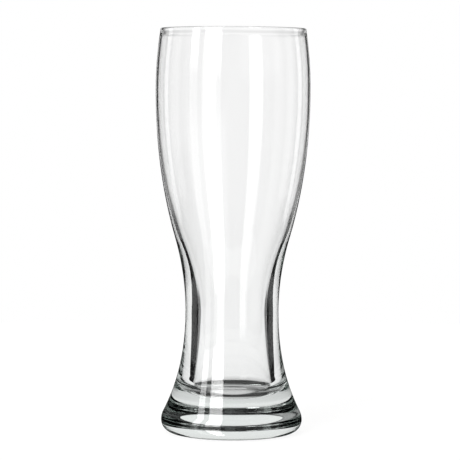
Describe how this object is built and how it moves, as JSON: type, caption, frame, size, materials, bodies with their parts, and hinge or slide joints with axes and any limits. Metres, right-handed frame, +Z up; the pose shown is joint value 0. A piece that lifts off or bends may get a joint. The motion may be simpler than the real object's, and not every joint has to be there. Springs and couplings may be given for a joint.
{
  "type": "pilsner glass",
  "caption": "Tall clear drinking glass with a thin barrel bowl, a narrow thick-walled waist and a solid flared foot, for serving pilsner.",
  "frame": {"origin": "centre of the ring that the glass stands on, at the level of the surface under it", "axes": "+Z up along the glass's axis, towards the mouth; X and Y are alike, because the glass is round"},
  "size_m": [0.086, 0.086, 0.225],
  "materials": {
    "clear_glass": "clear soda-lime glass, fire-polished all over but for the worn ring it stands on"
  },
  "bodies": {
    "root": {"rim": "clear_glass", "bowl": "clear_glass", "waist": "clear_glass", "foot": "clear_glass"}
  },
  "joints": []
}
